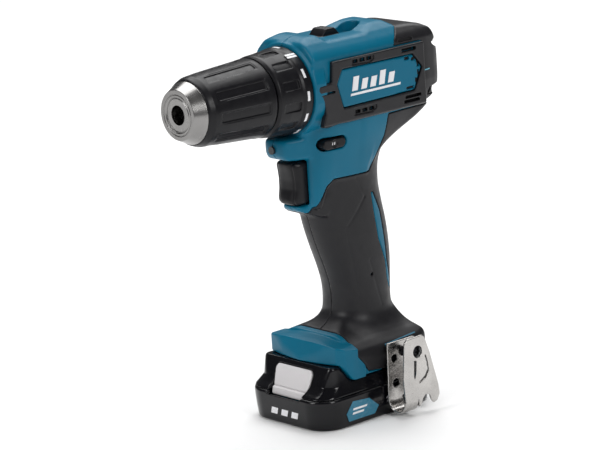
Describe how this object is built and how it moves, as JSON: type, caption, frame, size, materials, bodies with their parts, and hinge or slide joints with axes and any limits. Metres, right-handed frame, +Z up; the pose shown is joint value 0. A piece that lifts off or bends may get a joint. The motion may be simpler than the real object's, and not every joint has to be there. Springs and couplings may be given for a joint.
{
  "type": "cordless drill driver",
  "caption": "Compact pistol-grip cordless drill driver with keyless chuck, torque collar, planetary gearbox, trigger and slide-on battery.",
  "frame": {"origin": "centre of the flat underside of the battery", "axes": "+Z up, -Y the way the chuck points, +X the side with the belt clip"},
  "size_m": [0.0775, 0.1671, 0.2072],
  "materials": {
    "teal_shell": "fine satin texture",
    "black_rubber": "matt soft grip",
    "black_plastic": "satin",
    "gloss_black": "gloss",
    "light_grey": "satin",
    "bright_steel": "turned and ground",
    "spring_steel": "pressed and polished",
    "dark_steel": "black oxide",
    "gear_steel": "machined",
    "motor_steel": "zinc plated",
    "copper": "enamelled wire",
    "carbon": "graphite",
    "clear_lens": "clear",
    "cell_wrap": "shrink wrap over metal cans",
    "board": "solder mask"
  },
  "bodies": {
    "frame": {"housing_left": "teal_shell", "housing_right": "teal_shell", "grip_rubber_left": "black_rubber", "grip_rubber_right": "black_rubber", "side_band_left": "black_rubber", "side_band_right": "black_rubber", "rear_cover": "black_plastic", "cover_screws": "dark_steel", "foot_bumper": "teal_shell", "gear_case": "black_plastic", "spindle_bearing": "gear_steel", "ring_gear_1": "gear_steel", "ring_gear_3": "gear_steel", "clutch_plate": "gear_steel", "clutch_spring": "spring_steel", "motor_can": "motor_steel", "motor_magnets": "dark_steel", "motor_plate": "motor_steel", "motor_endcap": "black_plastic", "brushes": "carbon", "trigger_spring": "spring_steel", "switch_body": "black_plastic", "lamp_lens": "clear_lens", "belt_clip": "spring_steel", "clip_screw": "dark_steel"},
    "spindle_set": {"spindle": "bright_steel", "chuck_body": "bright_steel", "chuck_nose": "bright_steel", "chuck_screw": "dark_steel"},
    "sleeve_set": {"chuck_sleeve": "black_plastic", "chuck_nut": "bright_steel"},
    "jaw_1": {"chuck_jaw_1": "bright_steel"},
    "jaw_2": {"chuck_jaw_2": "bright_steel"},
    "jaw_3": {"chuck_jaw_3": "bright_steel"},
    "collar": {"torque_collar": "black_plastic"},
    "nut": {"clutch_nut": "gear_steel"},
    "carrier_1": {"carrier_1": "gear_steel"},
    "carrier_2": {"carrier_2": "gear_steel"},
    "rotor": {"armature": "motor_steel", "windings": "copper", "motor_pinion": "gear_steel"},
    "speed": {"speed_selector": "black_plastic", "ring_gear_2": "gear_steel"},
    "trigger": {"trigger": "black_plastic"},
    "reverse": {"reverse_lever": "black_plastic"},
    "battery": {"battery_lower": "gloss_black", "battery_upper": "gloss_black", "cells": "cell_wrap", "cell_board": "board", "battery_contacts": "copper"},
    "latch": {"battery_latch": "light_grey"},
    "planet_1_1": {"planet_1_1": "gear_steel"},
    "planet_1_2": {"planet_1_2": "gear_steel"},
    "planet_1_3": {"planet_1_3": "gear_steel"},
    "planet_2_1": {"planet_2_1": "gear_steel"},
    "planet_2_2": {"planet_2_2": "gear_steel"},
    "planet_2_3": {"planet_2_3": "gear_steel"},
    "planet_3_1": {"planet_3_1": "gear_steel"},
    "planet_3_2": {"planet_3_2": "gear_steel"},
    "planet_3_3": {"planet_3_3": "gear_steel"}
  },
  "joints": [
    {"name": "chuck_spin", "type": "hinge", "parent": "frame", "child": "spindle_set", "pos_m": [0, 0, 0.1786], "axis": [0, 1, 0], "continuous": true},
    {"name": "rotor_spin", "type": "hinge", "parent": "frame", "child": "rotor", "pos_m": [0, 0, 0.1786], "axis": [0, 1, 0], "continuous": true},
    {"name": "carrier_1_spin", "type": "hinge", "parent": "frame", "child": "carrier_1", "pos_m": [0, 0, 0.1786], "axis": [0, 1, 0], "continuous": true},
    {"name": "carrier_2_spin", "type": "hinge", "parent": "frame", "child": "carrier_2", "pos_m": [0, 0, 0.1786], "axis": [0, 1, 0], "continuous": true},
    {"name": "planet_1_1_spin", "type": "hinge", "parent": "carrier_1", "child": "planet_1_1", "pos_m": [0.0105, 0, 0.1786], "axis": [0, 1, 0], "continuous": true},
    {"name": "planet_1_2_spin", "type": "hinge", "parent": "carrier_1", "child": "planet_1_2", "pos_m": [-0.00525, 0, 0.18769], "axis": [0, 1, 0], "continuous": true},
    {"name": "planet_1_3_spin", "type": "hinge", "parent": "carrier_1", "child": "planet_1_3", "pos_m": [-0.00525, 0, 0.16951], "axis": [0, 1, 0], "continuous": true},
    {"name": "planet_2_1_spin", "type": "hinge", "parent": "carrier_2", "child": "planet_2_1", "pos_m": [0.01073, 0, 0.1786], "axis": [0, 1, 0], "continuous": true},
    {"name": "planet_2_2_spin", "type": "hinge", "parent": "carrier_2", "child": "planet_2_2", "pos_m": [-0.00536, 0, 0.18789], "axis": [0, 1, 0], "continuous": true},
    {"name": "planet_2_3_spin", "type": "hinge", "parent": "carrier_2", "child": "planet_2_3", "pos_m": [-0.00536, 0, 0.16931], "axis": [0, 1, 0], "continuous": true},
    {"name": "planet_3_1_spin", "type": "hinge", "parent": "spindle_set", "child": "planet_3_1", "pos_m": [0.0117, 0, 0.1786], "axis": [0, 1, 0], "continuous": true},
    {"name": "planet_3_2_spin", "type": "hinge", "parent": "spindle_set", "child": "planet_3_2", "pos_m": [-0.00585, 0, 0.18873], "axis": [0, 1, 0], "continuous": true},
    {"name": "planet_3_3_spin", "type": "hinge", "parent": "spindle_set", "child": "planet_3_3", "pos_m": [-0.00585, 0, 0.16847], "axis": [0, 1, 0], "continuous": true},
    {"name": "sleeve_turn", "type": "hinge", "parent": "spindle_set", "child": "sleeve_set", "pos_m": [0, 0, 0.1786], "axis": [0, 1, 0], "range_deg": [0, 3960]},
    {"name": "jaw_1_slide", "type": "slide", "parent": "spindle_set", "child": "jaw_1", "axis": [0, -0.9659, -0.2588], "range_m": [0, 0.0193]},
    {"name": "jaw_2_slide", "type": "slide", "parent": "spindle_set", "child": "jaw_2", "axis": [-0.2241, -0.9659, 0.1294], "range_m": [0, 0.0193]},
    {"name": "jaw_3_slide", "type": "slide", "parent": "spindle_set", "child": "jaw_3", "axis": [0.2241, -0.9659, 0.1294], "range_m": [0, 0.0193]},
    {"name": "collar_turn", "type": "hinge", "parent": "frame", "child": "collar", "pos_m": [0, 0, 0.1786], "axis": [0, 1, 0], "range_deg": [0, 300]},
    {"name": "clutch_nut_slide", "type": "slide", "parent": "collar", "child": "nut", "axis": [0, 1, 0], "range_m": [0, 0.0032], "deforming": ["clutch_spring"]},
    {"name": "speed_slide", "type": "slide", "parent": "frame", "child": "speed", "axis": [0, 1, 0], "range_m": [0, 0.005]},
    {"name": "trigger_pull", "type": "slide", "parent": "frame", "child": "trigger", "axis": [0, 1, 0], "range_m": [0, 0.006], "stiffness_N_per_m": 900, "springref_m": -0.003, "deforming": ["trigger_spring"]},
    {"name": "reverse_shift", "type": "slide", "parent": "frame", "child": "reverse", "axis": [1, 0, 0], "range_m": [-0.003, 0.003]},
    {"name": "battery_slide", "type": "slide", "parent": "frame", "child": "battery", "axis": [0, -1, 0], "range_m": [0, 0.09]},
    {"name": "latch_press", "type": "slide", "parent": "battery", "child": "latch", "axis": [0, 0.9553, -0.2957], "range_m": [0, 0.002], "stiffness_N_per_m": 800, "springref_m": -0.001}
  ],
  "couplings": [
    {"joint": "rotor_spin", "follows": "chuck_spin", "ratio": 44},
    {"joint": "carrier_1_spin", "follows": "chuck_spin", "ratio": 11},
    {"joint": "carrier_2_spin", "follows": "chuck_spin", "ratio": 3},
    {"joint": "planet_1_1_spin", "follows": "chuck_spin", "ratio": -33},
    {"joint": "planet_1_2_spin", "follows": "chuck_spin", "ratio": -33},
    {"joint": "planet_1_3_spin", "follows": "chuck_spin", "ratio": -33},
    {"joint": "planet_2_1_spin", "follows": "chuck_spin", "ratio": -9.6},
    {"joint": "planet_2_2_spin", "follows": "chuck_spin", "ratio": -9.6},
    {"joint": "planet_2_3_spin", "follows": "chuck_spin", "ratio": -9.6},
    {"joint": "planet_3_1_spin", "follows": "chuck_spin", "ratio": -4},
    {"joint": "planet_3_2_spin", "follows": "chuck_spin", "ratio": -4},
    {"joint": "planet_3_3_spin", "follows": "chuck_spin", "ratio": -4},
    {"joint": "jaw_1_slide", "follows": "sleeve_turn", "m_per_rad": 0.00027924},
    {"joint": "jaw_2_slide", "follows": "sleeve_turn", "m_per_rad": 0.00027924},
    {"joint": "jaw_3_slide", "follows": "sleeve_turn", "m_per_rad": 0.00027924},
    {"joint": "clutch_nut_slide", "follows": "collar_turn", "m_per_rad": 0.00061115}
  ]
}
